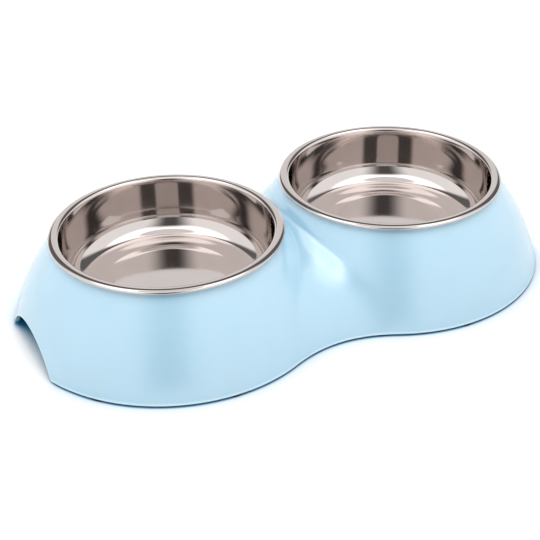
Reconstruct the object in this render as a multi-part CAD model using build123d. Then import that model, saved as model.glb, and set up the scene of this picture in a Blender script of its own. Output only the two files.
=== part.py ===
"""Double pet bowl: two lift-out steel bowls hung in a two-bell stand on rubber feet.

Millimetres. The origin is on the floor, midway between the two bowls.
+X runs from the left bowl to the right one, +Y to the back, +Z up.
"""
import math
import os

from build123d import *

# Pressed steel bowls
mouth_radius = 52.8
bowl_depth = 30.0
bowl_wall_draft = 4.0
bowl_corner_radius = 11.0
bowl_ring_gap = 5.5
bowl_step_run = 6.5
bowl_step_rise = 1.2
bowl_step_round = 2.0
steel = 0.7

# Rim of a bowl: a flange that hangs on the stand's collar, and a lip turned down outside it
collar_clearance = 0.8
collar_wall = 1.8
lip_clearance = 1.2
lip_height = 1.45
lip_round = 1.2
mouth_round = 1.4
rim_gap = 10.0

# Moulded stand
bell_flare = 23.9
shoulder_height = 45.6
wall_arc_radius = 108.0
wall = 3.0
collar_height = 2.1
base_edge_round = 1.0

# Neck between the two bells: how far it stands out from their crease, and where that runs out
neck_fill = 10.5
neck_fade_drop = 5.0
neck_fade_power = 4
neck_top_half_width = 17.0
neck_section_count = 8

# Finger notch at each end, a little nearer the front than the back
notch_height = 15.2
notch_arc_radius = 33.0
notch_corner_round = 2.5
notch_front_shift = 2.0

# Rubber feet, at these angles in degrees from each bell's outward direction
foot_angles = {"outer": 41.5, "inner": 90.0}
foot_lift = 1.0
foot_radius = 4.8
foot_inset = 0.4
foot_edge_round = 0.3
stem_radius = 1.8
stem_length = 6.0
stem_clearance = 0.1
boss_wall = 1.6

# Cuts run past the faces that they open
overrun = 5.0

# Sizes that follow
hole_radius = mouth_radius + steel + collar_clearance
shoulder_radius = hole_radius + collar_wall
rim_radius = shoulder_radius + lip_clearance + steel
half_spacing = rim_radius + rim_gap / 2
base_radius = shoulder_radius + bell_flare
neck_fade_height = shoulder_height - neck_fade_drop
stand_top = foot_lift + shoulder_height + collar_height
side_signs = {"left": -1, "right": 1}
row_signs = {"front": -1, "back": 1}


def wall_arc_centre():
    """Centre (radius, height above the base edge) of the arc from the base edge to the shoulder."""
    run = base_radius - shoulder_radius
    chord = math.hypot(run, shoulder_height)
    reach = math.sqrt(wall_arc_radius**2 - chord**2 / 4)
    mid_radius = (base_radius + shoulder_radius) / 2
    return (
        mid_radius - reach * shoulder_height / chord,
        shoulder_height / 2 - reach * run / chord,
    )


def bell_radius(height, inset):
    """Radius of a bell at a height above the base edge, for the surface that lies inset inside it."""
    centre_radius, centre_height = wall_arc_centre()
    arc = wall_arc_radius - inset
    return centre_radius + math.sqrt(arc**2 - (height - centre_height) ** 2)


def neck_half_width(height, inset):
    """Half width of the neck midway between the bells, or 0 where the bells have parted."""
    fill = neck_fill * (1 - (height / neck_fade_height) ** neck_fade_power)
    reach = bell_radius(height, inset) + fill
    return math.sqrt(max(reach**2 - half_spacing**2, 0))


def neck_top(inset):
    """Height above the base edge at which the neck has narrowed to its top width."""
    low = 0
    high = neck_fade_height
    while high - low > neck_fade_height / 2**40:
        middle = (low + high) / 2
        if neck_half_width(middle, inset) > neck_top_half_width:
            low = middle
        else:
            high = middle
    return low


def waisted_outline(height, inset):
    """Level section through both bells: two round ends joined by a hollow arc front and back."""
    end_radius = bell_radius(height, inset)
    waist = neck_half_width(height, inset)
    hollow = (half_spacing**2 + waist**2 - end_radius**2) / (2 * (end_radius - waist))
    reach = end_radius / (end_radius + hollow)
    join_x = half_spacing * (1 - reach)
    join_y = (waist + hollow) * reach
    tip_x = half_spacing + end_radius
    with BuildSketch(Plane.XY.offset(foot_lift + height)) as section:
        with BuildLine():
            ThreePointArc((-join_x, join_y), (-tip_x, 0), (-join_x, -join_y))
            ThreePointArc((-join_x, -join_y), (0, -waist), (join_x, -join_y))
            ThreePointArc((join_x, -join_y), (tip_x, 0), (join_x, join_y))
            ThreePointArc((join_x, join_y), (0, waist), (-join_x, join_y))
        make_face()
    return section.sketch


def waisted_body(inset, bottom):
    """Both bells and their neck as one solid, from a bottom height up to the top of the neck."""
    top = neck_top(inset)
    turns = [math.pi / 2 * step / (neck_section_count - 1) for step in range(neck_section_count)]
    heights = [bottom + (top - bottom) * math.sin(turn) for turn in turns]
    return loft([waisted_outline(height, inset) for height in heights])


def bell_top(inset):
    """One bell from the top of the neck to the shoulder, about the Z axis."""
    low = neck_top(inset)
    low_radius = bell_radius(low, inset)
    top_radius = bell_radius(shoulder_height, inset)
    with BuildSketch(Plane.XZ) as section:
        with BuildLine():
            RadiusArc(
                (low_radius, foot_lift + low),
                (top_radius, foot_lift + shoulder_height),
                -(wall_arc_radius - inset),
            )
            Polyline(
                (top_radius, foot_lift + shoulder_height),
                (0, foot_lift + shoulder_height),
                (0, foot_lift + low),
                (low_radius, foot_lift + low),
            )
        make_face()
    return revolve(section.sketch, Axis.Z)


def at_bowls(solid):
    """The solid copied to the axis of each bowl."""
    return [Pos(sign * half_spacing, 0, 0) * solid for sign in side_signs.values()]


def foot_places():
    """Name and centre of each foot, just inside the base edge."""
    ring = base_radius - foot_inset - foot_radius
    for side, sign in side_signs.items():
        for row, row_sign in row_signs.items():
            for place, angle in foot_angles.items():
                turn = math.radians(angle)
                x = sign * (half_spacing + ring * math.cos(turn))
                y = row_sign * ring * math.sin(turn)
                yield f"foot_{side}_{row}_{place}", Pos(x, y, 0)


def notch_cutters():
    """Arched finger notch with rounded lower corners, long enough to open the wall at both ends."""
    arc_centre = notch_height - notch_arc_radius
    half_chord = math.sqrt(notch_arc_radius**2 - arc_centre**2)
    with BuildSketch(Plane.YZ) as arch:
        with Locations((0, foot_lift + arc_centre)):
            Circle(notch_arc_radius)
        with Locations((0, foot_lift)):
            Rectangle(
                4 * half_chord,
                2 * notch_arc_radius,
                align=(Align.CENTER, Align.MIN),
                mode=Mode.INTERSECT,
            )
        with Locations((0, foot_lift)):
            Rectangle(
                4 * half_chord,
                foot_lift + overrun,
                align=(Align.CENTER, Align.MAX),
            )
        corners = arch.vertices().filter_by_position(Axis.Y, foot_lift, foot_lift)
        fillet([corner for corner in corners if abs(corner.Y) < 1.5 * half_chord], notch_corner_round)
    reach = base_radius + overrun
    return [
        Pos(sign * half_spacing, -notch_front_shift, 0) * extrude(arch.sketch, sign * reach)
        for sign in side_signs.values()
    ]


def make_cavity():
    """Hollow under the stand: inside of both bells and the neck, less the bosses that hold the feet."""
    cavity = waisted_body(wall, -overrun)
    cavity += at_bowls(bell_top(wall))
    boss = Pos(0, 0, foot_lift) * Cylinder(
        stem_radius + stem_clearance + boss_wall,
        stem_length + stem_clearance + boss_wall,
        align=(Align.CENTER, Align.CENTER, Align.MIN),
    )
    cavity -= [place * boss for name, place in foot_places()]
    return cavity


def make_stand():
    """One-piece moulded shell: two hollow bells, their neck, and a collar that each bowl hangs on."""
    skirt = waisted_body(0, 0)
    shell = fillet(skirt.edges().group_by(Axis.Z)[0], base_edge_round)
    shell += at_bowls(bell_top(0))
    collar = Pos(0, 0, foot_lift + shoulder_height) * Cylinder(
        shoulder_radius, collar_height, align=(Align.CENTER, Align.CENTER, Align.MIN)
    )
    shell += at_bowls(collar)
    shell -= make_cavity()
    hole_floor = foot_lift + neck_top(wall)
    hole = Pos(0, 0, hole_floor) * Cylinder(
        hole_radius,
        stand_top - hole_floor + overrun,
        align=(Align.CENTER, Align.CENTER, Align.MIN),
    )
    shell -= at_bowls(hole)
    shell -= notch_cutters()
    socket = Pos(0, 0, foot_lift) * Cylinder(
        stem_radius + stem_clearance,
        stem_length + stem_clearance,
        align=(Align.CENTER, Align.CENTER, Align.MIN),
    )
    shell -= [place * socket for name, place in foot_places()]
    return shell


def make_bowl():
    """Pressed steel bowl about the Z axis: raised disc, round corner, wall, flange and turned-down lip."""
    top = stand_top + steel
    floor = top - bowl_depth
    wall_foot = mouth_radius - bowl_depth * math.tan(math.radians(bowl_wall_draft))
    ring_radius = wall_foot - bowl_corner_radius - bowl_ring_gap
    disc_radius = ring_radius - bowl_step_run
    inner_face = FilletPolyline(
        (0, floor + bowl_step_rise),
        (disc_radius, floor + bowl_step_rise),
        (ring_radius, floor),
        (wall_foot, floor),
        (mouth_radius, top),
        (rim_radius, top),
        (rim_radius, top - lip_height),
        radius=[bowl_step_round, bowl_step_round, bowl_corner_radius, mouth_round, lip_round],
    )
    section = make_face(Plane.XZ * offset(inner_face, steel, side=Side.RIGHT))
    return revolve(section, Axis.Z)


def make_foot():
    """Rubber foot about the Z axis: a round pad on the floor and a stem that presses into a boss."""
    with BuildPart() as foot:
        Cylinder(foot_radius, foot_lift, align=(Align.CENTER, Align.CENTER, Align.MIN))
        fillet(foot.edges().group_by(Axis.Z)[0], foot_edge_round)
        with Locations((0, 0, foot_lift)):
            Cylinder(stem_radius, stem_length, align=(Align.CENTER, Align.CENTER, Align.MIN))
    return foot.part


os.makedirs("parts", exist_ok=True)
export_step(make_stand(), "parts/stand.step")
bowl = make_bowl()
for name, sign in {"food_bowl": -1, "water_bowl": 1}.items():
    export_step(Pos(sign * half_spacing, 0, 0) * bowl, f"parts/{name}.step")
foot = make_foot()
for name, place in foot_places():
    export_step(place * foot, f"parts/{name}.step")
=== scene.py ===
import math

import bmesh
import bpy
import numpy as np
from mathutils import Matrix, Vector


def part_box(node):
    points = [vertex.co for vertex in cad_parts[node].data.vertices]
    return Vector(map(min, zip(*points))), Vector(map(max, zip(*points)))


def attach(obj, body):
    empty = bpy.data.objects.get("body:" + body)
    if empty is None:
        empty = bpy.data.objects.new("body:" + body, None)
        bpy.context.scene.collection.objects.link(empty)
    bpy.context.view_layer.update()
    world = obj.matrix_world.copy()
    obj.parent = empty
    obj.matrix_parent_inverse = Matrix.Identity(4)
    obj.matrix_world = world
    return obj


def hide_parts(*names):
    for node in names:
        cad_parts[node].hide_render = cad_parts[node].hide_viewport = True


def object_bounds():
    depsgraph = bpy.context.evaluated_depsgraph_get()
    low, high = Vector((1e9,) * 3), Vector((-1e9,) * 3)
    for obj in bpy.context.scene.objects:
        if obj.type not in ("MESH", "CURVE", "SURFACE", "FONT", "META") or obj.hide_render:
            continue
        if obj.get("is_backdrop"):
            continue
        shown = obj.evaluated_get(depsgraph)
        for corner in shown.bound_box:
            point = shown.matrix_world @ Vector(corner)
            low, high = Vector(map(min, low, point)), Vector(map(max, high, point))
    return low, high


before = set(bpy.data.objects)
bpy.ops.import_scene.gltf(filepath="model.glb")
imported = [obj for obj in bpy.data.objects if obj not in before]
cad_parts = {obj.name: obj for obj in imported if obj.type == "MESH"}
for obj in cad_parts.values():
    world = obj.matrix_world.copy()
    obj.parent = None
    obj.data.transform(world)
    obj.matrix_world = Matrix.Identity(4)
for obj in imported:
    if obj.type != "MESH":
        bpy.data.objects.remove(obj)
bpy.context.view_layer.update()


# Stand: one hollow moulding of glossy pale blue plastic, two bells that run together at a waisted neck.
# A thin collar round each hole carries a bowl, a finger notch is arched into the base at each end,
# and small bosses inside the base edge hold the feet. It is moulded in one shot, with its edges eased.
bell_x = 0.063
base_radius = 0.080
shoulder_radius = 0.0561
shoulder_rise = 0.0456
hole_radius = 0.0543
wall_arc = 0.108
wall_thickness = 0.003
seat_gap = 0.0002
base_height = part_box("stand")[0].z
collar_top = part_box("stand")[1].z - seat_gap
neck_fill = 0.0105
neck_fade_rise = 0.0406
neck_fade_power = 4
saddle_round = 0.005
notch_rise = 0.0152
notch_arc = 0.033
notch_corner = 0.0025
notch_front_shift = 0.002
base_edge_ease = 0.0008
base_edge_segments = 4
collar_edge_ease = 0.0003
collar_edge_segments = 2
boss_radius = 0.0035
boss_top_radius = 0.0026
boss_height = 0.0077
boss_sides = 32
touching = 1e-6


def bell_radius(rise, inset):
    """Radius of a bell at a height above its base edge, on the skin that lies inset inside the outer one."""
    run = base_radius - shoulder_radius
    chord = math.hypot(run, shoulder_rise)
    reach = math.sqrt(wall_arc**2 - chord**2 / 4)
    centre_radius = (base_radius + shoulder_radius) / 2 - reach * shoulder_rise / chord
    centre_rise = shoulder_rise / 2 - reach * run / chord
    return centre_radius + np.sqrt((wall_arc - inset) ** 2 - (rise - centre_rise) ** 2)


def outside_skin(x, y, rise, inset):
    """How far a place lies outside the two bells, run together by a hollow that fades out up the neck."""
    fade = 1 - (np.clip(rise, 0, neck_fade_rise) / neck_fade_rise) ** neck_fade_power
    hollow = np.maximum(neck_fill / (1 - math.sqrt(0.5)) * fade, saddle_round)
    left = np.hypot(x + bell_x, y) - bell_radius(rise, inset)
    right = np.hypot(x - bell_x, y) - bell_radius(rise, inset)
    return hollow - np.hypot(np.maximum(hollow - left, 0), np.maximum(hollow - right, 0))


def notch_top(x, y):
    """Height of the finger notch's arch above the base edge, and 0 where the base edge is whole."""
    arc_drop = notch_arc - notch_rise
    corner_y = math.sqrt((notch_arc + notch_corner) ** 2 - (arc_drop + notch_corner) ** 2)
    join_y = corner_y * notch_arc / (notch_arc + notch_corner)
    across = np.abs(y + notch_front_shift)
    arch = np.sqrt(np.maximum(notch_arc**2 - across**2, 0)) - arc_drop
    corner = notch_corner - np.sqrt(np.maximum(notch_corner**2 - (across - corner_y) ** 2, 0))
    open_rise = np.where(across < join_y, arch, np.where(across < corner_y, corner, 0))
    return np.where(x < -bell_x, open_rise, 0)


def halve(low, high, still_inside, steps=40):
    """The value between low and high at which still_inside turns false, for whole arrays at once."""
    for step in range(steps):
        middle = (low + high) / 2
        inside = still_inside(middle)
        low = np.where(inside, middle, low)
        high = np.where(inside, high, middle)
    return low


# A ring of round section is spun, and each of its vertices is then set down on the left bell. Round the
# section the rows go up the outer skin, over the collar and down the inner skin to the base edge again.
column_count = 600
outer_rows = 28
inner_rows = 12
collar_row = outer_rows + 1
inner_row = collar_row + 2
row_count = inner_row + inner_rows + 1
spun_radius = 2
stand_mesh = bmesh.new()
bmesh.ops.create_circle(
    stand_mesh,
    segments=row_count,
    radius=1,
    matrix=Matrix.Translation((spun_radius, 0, 0)) @ Matrix.Rotation(math.pi / 2, 4, "X"),
)
bmesh.ops.spin(
    stand_mesh,
    geom=stand_mesh.verts[:] + stand_mesh.edges[:],
    axis=(0, 0, 1),
    cent=(0, 0, 0),
    angle=math.tau,
    steps=column_count,
    use_merge=True,
)
ring = np.array([vert.co for vert in stand_mesh.verts])
turn = np.arctan2(ring[:, 1], ring[:, 0])
section_turn = np.arctan2(ring[:, 2], np.hypot(ring[:, 0], ring[:, 1]) - spun_radius)
row = np.round(section_turn / math.tau * row_count).astype(int) % row_count
on_outside = row <= collar_row
on_collar = (row == collar_row) | (row == collar_row + 1)
inset = np.where(on_outside, 0, wall_thickness)
top_radius = np.where(on_outside, shoulder_radius, hole_radius)
share = np.where(on_outside, 1 - row / outer_rows, (row - inner_row) / inner_rows)
share = np.where(on_collar, 0, share)

# The first eighth turn each way ends in the middle of the neck. Columns lie closer at the notch corners.
neck_turn = math.pi / 4
neck_edge = np.arccos(bell_x / (bell_radius(0, inset) + neck_fill))
column_turns = [neck_turn, math.radians(120), math.radians(160), math.pi]
column_shares = [0, 0.806, 0.888, 1]
in_neck = np.abs(turn) < neck_turn + 1e-4
angle = np.where(
    in_neck,
    neck_edge * np.abs(turn) / neck_turn,
    neck_edge + (math.pi - neck_edge) * np.interp(np.abs(turn), column_turns, column_shares),
)
angle = np.copysign(angle, turn)


def on_bell(radius):
    """Plan coordinates of each vertex at a radius from the left bell's axis."""
    return radius * np.cos(angle) - bell_x, radius * np.sin(angle)


def above_base(radius):
    """Whether the wall at each vertex's angle still lies above the base edge or notch at a radius."""
    x, y = on_bell(radius)
    return outside_skin(x, y, notch_top(x, y), inset) < 0


edge_radius = halve(top_radius, np.full(len(ring), 2 * base_radius), above_base)
edge_radius = np.where(in_neck, bell_x / np.cos(np.where(in_neck, angle, 0)), edge_radius)
x, y = on_bell(top_radius + (edge_radius - top_radius) * share)
rise = halve(
    np.zeros(len(ring)),
    np.full(len(ring), shoulder_rise),
    lambda height: outside_skin(x, y, height, inset) < 0,
)
height = np.where(on_collar, collar_top, base_height + rise)
for vert, place in zip(stand_mesh.verts, np.stack([x, y, height], axis=1)):
    vert.co = place
neck_faces = [face for face in stand_mesh.faces if all(abs(vert.co.x) < touching for vert in face.verts)]
bmesh.ops.delete(stand_mesh, geom=neck_faces, context="FACES")
bmesh.ops.mirror(
    stand_mesh,
    geom=stand_mesh.verts[:] + stand_mesh.edges[:] + stand_mesh.faces[:],
    matrix=Matrix.Identity(4),
    merge_dist=1e-5,
    axis="X",
)
bmesh.ops.recalc_face_normals(stand_mesh, faces=stand_mesh.faces)

# The base edge and the notches are eased wide, and a painted highlight makes them paler blue. The edges of
# the collars are only broken.
corner_angle = math.radians(30)
corner_edges = [edge for edge in stand_mesh.edges if edge.calc_face_angle(0) > corner_angle]
low_corners = [edge for edge in corner_edges if edge.verts[0].co.z < base_height + 1.5 * notch_rise]
high_corners = [edge for edge in corner_edges if edge.verts[0].co.z > base_height + 2 * notch_rise]
# Painted highlight: the vertices of the eased base edge and notches carry a share that the plastic paints
# paler blue, as a lit line along the edge.
painted_edge_highlight = stand_mesh.verts.layers.float.new("painted_edge_highlight")
for edges, ease, segments, highlight_share in (
    (low_corners, base_edge_ease, base_edge_segments, 1),
    (high_corners, collar_edge_ease, collar_edge_segments, 0),
):
    eased = bmesh.ops.bevel(
        stand_mesh,
        geom=edges,
        offset=ease,
        segments=segments,
        profile=0.5,
        affect="EDGES",
        material=-1,
    )
    for vert in eased["verts"]:
        vert[painted_edge_highlight] = highlight_share
for name in sorted(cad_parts):
    if name.startswith("foot_"):
        low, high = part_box(name)
        bmesh.ops.create_cone(
            stand_mesh,
            cap_ends=True,
            segments=boss_sides,
            radius1=boss_radius,
            radius2=boss_top_radius,
            depth=boss_height,
            matrix=Matrix.Translation(
                ((low.x + high.x) / 2, (low.y + high.y) / 2, base_height + boss_height / 2)
            ),
        )

# Mottle: a soft, uneven value over a surface, between a low and a high.
mottle = bpy.data.node_groups.new("mottle", "ShaderNodeTree")
mottle.interface.new_socket("Vector", in_out="INPUT", socket_type="NodeSocketVector")
for socket in ("Scale", "Detail", "Low", "High"):
    mottle.interface.new_socket(socket, in_out="INPUT", socket_type="NodeSocketFloat")
mottle.interface.new_socket("Value", in_out="OUTPUT", socket_type="NodeSocketFloat")
group_in = mottle.nodes.new("NodeGroupInput")
group_out = mottle.nodes.new("NodeGroupOutput")
noise = mottle.nodes.new("ShaderNodeTexNoise")
spread = mottle.nodes.new("ShaderNodeMapRange")
spread.inputs["From Min"].default_value = 0.3
spread.inputs["From Max"].default_value = 0.7
for socket in ("Vector", "Scale", "Detail"):
    mottle.links.new(group_in.outputs[socket], noise.inputs[socket])
mottle.links.new(noise.outputs["Fac"], spread.inputs["Value"])
mottle.links.new(group_in.outputs["Low"], spread.inputs["To Min"])
mottle.links.new(group_in.outputs["High"], spread.inputs["To Max"])
mottle.links.new(spread.outputs["Result"], group_out.inputs["Value"])


def new_material(name):
    """Material with a Principled shader, and its tree, shader and Object coordinates."""
    material = bpy.data.materials.new(name)
    material.use_nodes = True
    tree = material.node_tree
    coordinates = tree.nodes.new("ShaderNodeTexCoord")
    return material, tree, tree.nodes["Principled BSDF"], coordinates.outputs["Object"]


def add_mottle(tree, vector, scale, detail, low=0, high=1):
    """Mottle placed in a material: its value socket."""
    node = tree.nodes.new("ShaderNodeGroup")
    node.node_tree = mottle
    tree.links.new(vector, node.inputs["Vector"])
    for socket, value in (("Scale", scale), ("Detail", detail), ("Low", low), ("High", high)):
        node.inputs[socket].default_value = value
    return node.outputs["Value"]


def add_two_tone(tree, share, first, second):
    """Node that mixes two tones by a share socket."""
    mix = tree.nodes.new("ShaderNodeMix")
    mix.data_type = "RGBA"
    mix.inputs["A"].default_value = (*first, 1)
    mix.inputs["B"].default_value = (*second, 1)
    tree.links.new(share, mix.inputs["Factor"])
    return mix


def add_bump(tree, shader, height, distance, strength):
    """Bump from a height socket into the shader's normal."""
    bump = tree.nodes.new("ShaderNodeBump")
    bump.inputs["Distance"].default_value = distance
    bump.inputs["Strength"].default_value = strength
    tree.links.new(height, bump.inputs["Height"])
    tree.links.new(bump.outputs["Normal"], shader.inputs["Normal"])


def finish_piece(name, mesh, material, sharp_angle):
    """Smooth-shaded object made from a finished mesh, with its place in the mesh."""
    data = bpy.data.meshes.new(name)
    mesh.to_mesh(data)
    mesh.free()
    data.shade_smooth()
    data.set_sharp_from_angle(angle=sharp_angle)
    data.materials.append(material)
    piece = bpy.data.objects.new(name, data)
    bpy.context.scene.collection.objects.link(piece)
    return piece


pale_blue = (0.412, 0.645, 0.790)
paler_blue = (0.432, 0.665, 0.810)
# Paler blue painted along the eased base edge and notches as a highlight line.
highlight_blue = (0.70, 0.92, 0.99)
plastic, tree, shader, place = new_material("pale_blue_plastic")
# The painted highlight: the base colour runs to the paler blue where the eased base edge carries its share.
highlight_share = tree.nodes.new("ShaderNodeAttribute")
highlight_share.attribute_name = "painted_edge_highlight"
highlight_fade = tree.nodes.new("ShaderNodeMapRange")
highlight_fade.inputs["From Min"].default_value = 0.55
tree.links.new(highlight_share.outputs["Fac"], highlight_fade.inputs["Value"])
moulded = add_two_tone(tree, add_mottle(tree, place, scale=35, detail=3), pale_blue, paler_blue)
highlighted_tone = add_two_tone(tree, highlight_fade.outputs["Result"], pale_blue, highlight_blue)
tree.links.new(moulded.outputs["Result"], highlighted_tone.inputs["A"])
tree.links.new(highlighted_tone.outputs["Result"], shader.inputs["Base Color"])
tree.links.new(add_mottle(tree, place, scale=120, detail=4, low=0.20, high=0.25), shader.inputs["Roughness"])
add_bump(tree, shader, add_mottle(tree, place, scale=600, detail=2), distance=0.00004, strength=0.15)
for socket, value in (
    ("Subsurface Weight", 0.3),
    ("Subsurface Radius", (0.35, 0.8, 1.0)),
    ("Subsurface Scale", 0.003),
    ("IOR", 1.6),
    ("Specular IOR Level", 0.9),
    ("Coat Weight", 0.8),
    ("Coat Roughness", 0.15),
):
    shader.inputs[socket].default_value = value

stand = finish_piece("stand_moulding", stand_mesh, plastic, sharp_angle=math.radians(35))
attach(stand, "base")
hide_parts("stand")


# Feet: eight black rubber pads, each moulded with a stem that is pressed into a boss under the base edge.
# They keep the stand's edge just off the floor and stop it sliding.
deep_black = (0.010, 0.010, 0.011)
worn_black = (0.022, 0.022, 0.023)
rubber, tree, shader, place = new_material("black_rubber")
tone = add_two_tone(tree, add_mottle(tree, place, scale=300, detail=3), deep_black, worn_black)
tree.links.new(tone.outputs["Result"], shader.inputs["Base Color"])
tree.links.new(add_mottle(tree, place, scale=900, detail=3, low=0.55, high=0.78), shader.inputs["Roughness"])
add_bump(tree, shader, add_mottle(tree, place, scale=2500, detail=2), distance=0.00003, strength=0.4)
for name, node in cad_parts.items():
    if name.startswith("foot_"):
        node.data.materials.clear()
        node.data.materials.append(rubber)


# Bowls: two alike, pressed from thin stainless steel sheet and polished, with a raised disc in the floor.
# Each hangs by its flange on a collar of the stand, its lip turned down outside, and lifts straight out.
bowl_depth = 0.030
steel_thickness = 0.0007
wall_foot = 0.050702
corner_round = 0.011
ring_radius = 0.034202
disc_radius = 0.027702
disc_rise = 0.0012
step_round = 0.002
rim_radius = 0.058
lip_height = 0.00145
# Corners of the slightly crowned rim: radius, height above the level of the rim, and rounding.
rim_corners = (
    (0.0528, -0.0010, 0.0012),
    (0.0539, -0.0001, 0.0023),
    (0.0552, 0.0001, 0.0040),
    (0.0566, -0.0001, 0.0034),
    (0.0580, -0.0009, 0.00086),
)
bowl_columns = 256
round_segments = 10
straight_row = 0.0025
warm_steel = (0.625, 0.572, 0.552)
bright_steel = (0.665, 0.608, 0.586)


def add_math(tree, operation, first, second):
    """Math node on a value socket and a second one, or a number: its value socket."""
    node = tree.nodes.new("ShaderNodeMath")
    node.operation = operation
    tree.links.new(first, node.inputs[0])
    if isinstance(second, bpy.types.NodeSocket):
        tree.links.new(second, node.inputs[1])
    else:
        node.inputs[1].default_value = second
    return node.outputs["Value"]


steel, tree, shader, place = new_material("polished_steel")
shader.inputs["Metallic"].default_value = 1
tone = add_two_tone(tree, add_mottle(tree, place, scale=45, detail=3), warm_steel, bright_steel)
tree.links.new(tone.outputs["Result"], shader.inputs["Base Color"])
tree.links.new(add_mottle(tree, place, scale=90, detail=3, low=0.05, high=0.08), shader.inputs["Roughness"])

# Fine lines that the polishing wheel left, round the axis of the bowl.
split = tree.nodes.new("ShaderNodeSeparateXYZ")
join = tree.nodes.new("ShaderNodeCombineXYZ")
from_axis = tree.nodes.new("ShaderNodeVectorMath")
from_axis.operation = "LENGTH"
turned_lines = tree.nodes.new("ShaderNodeTexNoise")
turned_lines.noise_dimensions = "1D"
turned_lines.inputs["Scale"].default_value = 1800
turned_lines.inputs["Detail"].default_value = 3
tree.links.new(place, split.inputs["Vector"])
side = add_math(tree, "ABSOLUTE", split.outputs["X"], 0)
tree.links.new(add_math(tree, "SUBTRACT", side, bell_x), join.inputs["X"])
tree.links.new(split.outputs["Y"], join.inputs["Y"])
tree.links.new(join.outputs["Vector"], from_axis.inputs[0])
tree.links.new(from_axis.outputs["Value"], turned_lines.inputs["W"])
add_bump(tree, shader, turned_lines.outputs["Fac"], distance=0.00001, strength=0.15)

for node_name, body, axis_x in (
    ("food_bowl", "food_bowl_body", -bell_x),
    ("water_bowl", "water_bowl_body", bell_x),
):
    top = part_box(node_name)[1].z
    floor_height = top - bowl_depth
    corners = [
        (0, floor_height + disc_rise, 0),
        (disc_radius, floor_height + disc_rise, step_round),
        (ring_radius, floor_height, step_round),
        (wall_foot, floor_height, corner_round),
        *((radius, top + rise, ease) for radius, rise, ease in rim_corners),
        (rim_radius, top - lip_height, 0),
    ]
    bowl_mesh = bmesh.new()
    profile = [bowl_mesh.verts.new((axis_x + radius, 0, height)) for radius, height, ease in corners]
    for pair in zip(profile, profile[1:]):
        bowl_mesh.edges.new(pair)
    turns = []
    for before, vert, after in zip(profile, profile[1:], profile[2:]):
        turns.append((vert.co - before.co).angle(after.co - vert.co))
    for vert, turn, (radius, height, ease) in zip(profile[1:-1], turns, corners[1:-1]):
        bmesh.ops.bevel(
            bowl_mesh,
            geom=[vert],
            offset=ease * math.tan(turn / 2),
            segments=round_segments,
            profile=0.5,
            affect="VERTICES",
            material=-1,
        )
    for edge in bowl_mesh.edges[:]:
        rows = math.ceil(edge.calc_length() / straight_row)
        if rows > 1:
            bmesh.ops.subdivide_edges(bowl_mesh, edges=[edge], cuts=rows - 1)
    bmesh.ops.spin(
        bowl_mesh,
        geom=bowl_mesh.verts[:] + bowl_mesh.edges[:],
        axis=(0, 0, 1),
        cent=(axis_x, 0, 0),
        angle=math.tau,
        steps=bowl_columns,
        use_merge=True,
    )
    bmesh.ops.remove_doubles(bowl_mesh, verts=bowl_mesh.verts, dist=touching)
    bmesh.ops.recalc_face_normals(bowl_mesh, faces=bowl_mesh.faces)
    bowl_mesh.normal_update()
    lowest = min(bowl_mesh.faces, key=lambda face: face.calc_center_median().z)
    if lowest.normal.z < 0:
        bmesh.ops.reverse_faces(bowl_mesh, faces=bowl_mesh.faces)
    bowl = finish_piece(node_name + "_pressing", bowl_mesh, steel, sharp_angle=math.radians(60))
    sheet = bowl.modifiers.new("sheet_thickness", "SOLIDIFY")
    sheet.thickness = steel_thickness
    sheet.offset = -1
    sheet.use_even_offset = True
    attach(bowl, body)
    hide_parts(node_name)


# Floor: a plain white studio sweep, wide enough to fill the view. It takes the stand's soft shadow from the
# lights, and a painted
# shadow too: its colour runs to deep blue and its glow fades where the stand closes it in. It shows white to
# the camera and to the steel and the gloss.
floor_reach = 6.0
shadow_reach = 0.022
hollow_reach = 0.080
covered_share = 0.25
open_share = 0.55
painted_shadow_blue = (0.03, 0.26, 0.48)
floor_white = (0.76, 0.76, 0.76)
glow_strength = 0.4
mirrored_glow = 0.25
floor_mesh = bmesh.new()
bmesh.ops.create_grid(floor_mesh, x_segments=1, y_segments=1, size=floor_reach)
white_floor, tree, shader, place = new_material("white_floor")
shader.inputs["Roughness"].default_value = 0.9
shader.inputs["Specular IOR Level"].default_value = 0.1
shader.inputs["Emission Color"].default_value = (1, 1, 1, 1)
# Painted shadow: by how open the floor is above each place, the base colour runs to the painted blue shade
# and the glow fades near and under the stand.
openness = tree.nodes.new("ShaderNodeAmbientOcclusion")
openness.inputs["Distance"].default_value = shadow_reach
headroom = tree.nodes.new("ShaderNodeAmbientOcclusion")
headroom.inputs["Distance"].default_value = hollow_reach
uncovered = tree.nodes.new("ShaderNodeMapRange")
uncovered.inputs["From Min"].default_value = covered_share
uncovered.inputs["From Max"].default_value = open_share
tree.links.new(headroom.outputs["AO"], uncovered.inputs["Value"])
lit = add_math(tree, "MULTIPLY", openness.outputs["AO"], uncovered.outputs["Result"])
tone = add_two_tone(tree, lit, painted_shadow_blue, floor_white)
tree.links.new(tone.outputs["Result"], shader.inputs["Base Color"])
light_path = tree.nodes.new("ShaderNodeLightPath")
mirrored = add_math(tree, "MULTIPLY", light_path.outputs["Is Glossy Ray"], mirrored_glow)
shown = add_math(tree, "MAXIMUM", light_path.outputs["Is Camera Ray"], mirrored)
glow = add_math(tree, "MULTIPLY", shown, add_math(tree, "POWER", lit, 2))
white = add_math(tree, "MULTIPLY", glow, glow_strength)
tree.links.new(white, shader.inputs["Emission Strength"])
studio_floor = finish_piece("studio_floor", floor_mesh, white_floor, sharp_angle=math.pi)
studio_floor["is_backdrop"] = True


# Camera: a long lens above the front left of the stand, turned and tilted as the object is seen.
# It aims at the level of the rims, midway between the bowls, and is then slid and dropped a little.
camera_turn = math.radians(-25.3367)
camera_lift = math.radians(31.8617)
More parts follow.
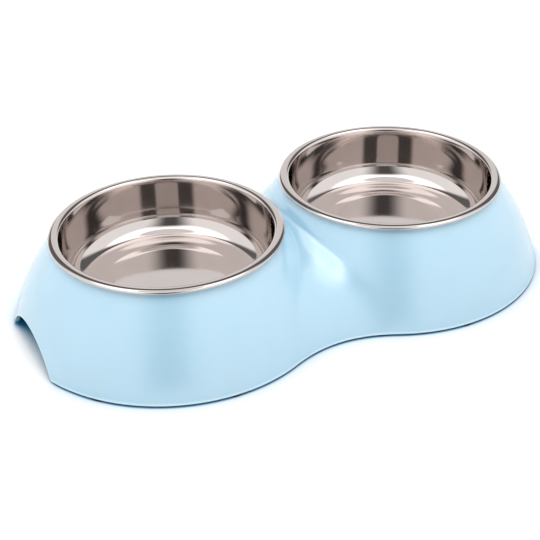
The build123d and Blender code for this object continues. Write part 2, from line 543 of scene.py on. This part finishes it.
camera_roll = math.radians(-1.1206)
camera_distance = 0.64365
camera_slide = 0.006064
camera_drop = 0.03593
aim = Vector((0, 0, 0.0492))
camera_data = bpy.data.cameras.new("camera")
camera_data.sensor_width = 36
camera_data.lens = 84.57
camera = bpy.data.objects.new("camera", camera_data)
turned = (
    Matrix.Rotation(camera_turn, 3, "Z")
    @ Matrix.Rotation(math.pi / 2 - camera_lift, 3, "X")
    @ Matrix.Rotation(camera_roll, 3, "Z")
)
camera.matrix_world = Matrix.Translation(
    aim + turned @ Vector((-camera_slide, -camera_drop, camera_distance))
) @ turned.to_4x4()
bpy.context.scene.collection.objects.link(camera)
bpy.context.scene.camera = camera
bpy.context.scene.view_settings.view_transform = "Standard"


# Light: a white room with a bright ring high up round a dimmer ceiling, which draws the white lines in the
# bowls. The dark gap behind the camera leaves the darker band down each bell, the grey panel in its dark
# frame opposite draws the lines round the rims, and a softbox overhead lights the stand and floor alone.
room_level = 1.16
ring_level = 2.1
ceiling_level = 0.95
panel_level = 0.92
frame_level = 0.15
gap_level = 0.10
# Where each edge of the light starts and ends, as the share of a view that lies along a fixed direction.
ring_edge = (0.78, 0.86)
ceiling_edge = (0.955, 0.975)
frame_edge = (0.56, 0.70)
frame_foot = (0.12, 0.32)
panel_edge = (0.915, 0.935)
gap_sides = (0.06, 0.44)
gap_front = (0.30, 0.60)
panel_lift = math.radians(22)
softbox_width = 0.9
softbox_length = 1.5
softbox_power = 6
softbox_turn = math.radians(155)
softbox_lift = math.radians(84)
softbox_distance = 1.2


def direction(turn, lift):
    """Unit vector that points from the stand to a turn from the front and a lift above the floor."""
    return Vector((math.sin(turn) * math.cos(lift), -math.cos(turn) * math.cos(lift), math.sin(lift)))


def add_share_towards(tree, vector, towards):
    """Share of a vector socket that lies along a fixed direction."""
    dot = tree.nodes.new("ShaderNodeVectorMath")
    dot.operation = "DOT_PRODUCT"
    dot.inputs[1].default_value = towards
    tree.links.new(vector, dot.inputs[0])
    return dot.outputs["Value"]


def add_fade(tree, value, edge, low=0, high=1):
    """Smooth run from low to high as a value socket goes from the start of an edge to its end."""
    fade = tree.nodes.new("ShaderNodeMapRange")
    fade.interpolation_type = "SMOOTHSTEP"
    start, end = edge
    for socket, number in (("From Min", start), ("From Max", end), ("To Min", low), ("To Max", high)):
        fade.inputs[socket].default_value = number
    tree.links.new(value, fade.inputs["Value"])
    return fade.outputs["Result"]


def add_cover(tree, level, share, value):
    """Light level covered by another value, by a share socket."""
    cover = tree.nodes.new("ShaderNodeMix")
    cover.inputs["B"].default_value = value
    tree.links.new(share, cover.inputs["Factor"])
    tree.links.new(level, cover.inputs["A"])
    return cover.outputs["Result"]


world = bpy.data.worlds.new("studio_room")
bpy.context.scene.world = world
world.use_nodes = True
tree = world.node_tree
background = tree.nodes["Background"]
background.inputs["Color"].default_value = (1, 1, 1, 1)
view_way = tree.nodes.new("ShaderNodeTexCoord").outputs["Generated"]
upward = add_share_towards(tree, view_way, (0, 0, 1))
behind = add_share_towards(tree, view_way, direction(camera_turn + math.pi, panel_lift))
forward = add_share_towards(tree, view_way, direction(camera_turn, 0))
rightward = add_share_towards(tree, view_way, direction(camera_turn + math.pi / 2, 0))
sideways = add_math(tree, "ABSOLUTE", rightward, 0)
panel_frame = add_math(
    tree, "MULTIPLY", add_fade(tree, behind, frame_edge), add_fade(tree, upward, frame_foot)
)
gap = add_math(
    tree, "MULTIPLY", add_fade(tree, sideways, gap_sides, low=1, high=0), add_fade(tree, forward, gap_front)
)
level = add_fade(tree, upward, ring_edge, low=room_level, high=ring_level)
level = add_cover(tree, level, add_fade(tree, upward, ceiling_edge), ceiling_level)
level = add_cover(tree, level, panel_frame, frame_level)
level = add_cover(tree, level, add_fade(tree, behind, panel_edge), panel_level)
level = add_cover(tree, level, gap, gap_level)
seen = tree.nodes.new("ShaderNodeLightPath").outputs["Is Camera Ray"]
tree.links.new(add_cover(tree, level, seen, 1), background.inputs["Strength"])

lamp = bpy.data.lights.new("softbox", "AREA")
lamp.shape = "RECTANGLE"
lamp.size = softbox_width
lamp.size_y = softbox_length
lamp.energy = softbox_power
softbox = bpy.data.objects.new("softbox", lamp)
towards = direction(softbox_turn, softbox_lift)
softbox.location = aim + towards * softbox_distance
softbox.rotation_euler = towards.to_track_quat("Z", "Y").to_euler()
bpy.context.scene.collection.objects.link(softbox)
under_softbox = bpy.data.collections.new("under_softbox")
under_softbox.objects.link(stand)
under_softbox.objects.link(studio_floor)
softbox.light_linking.receiver_collection = under_softbox

low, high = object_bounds()
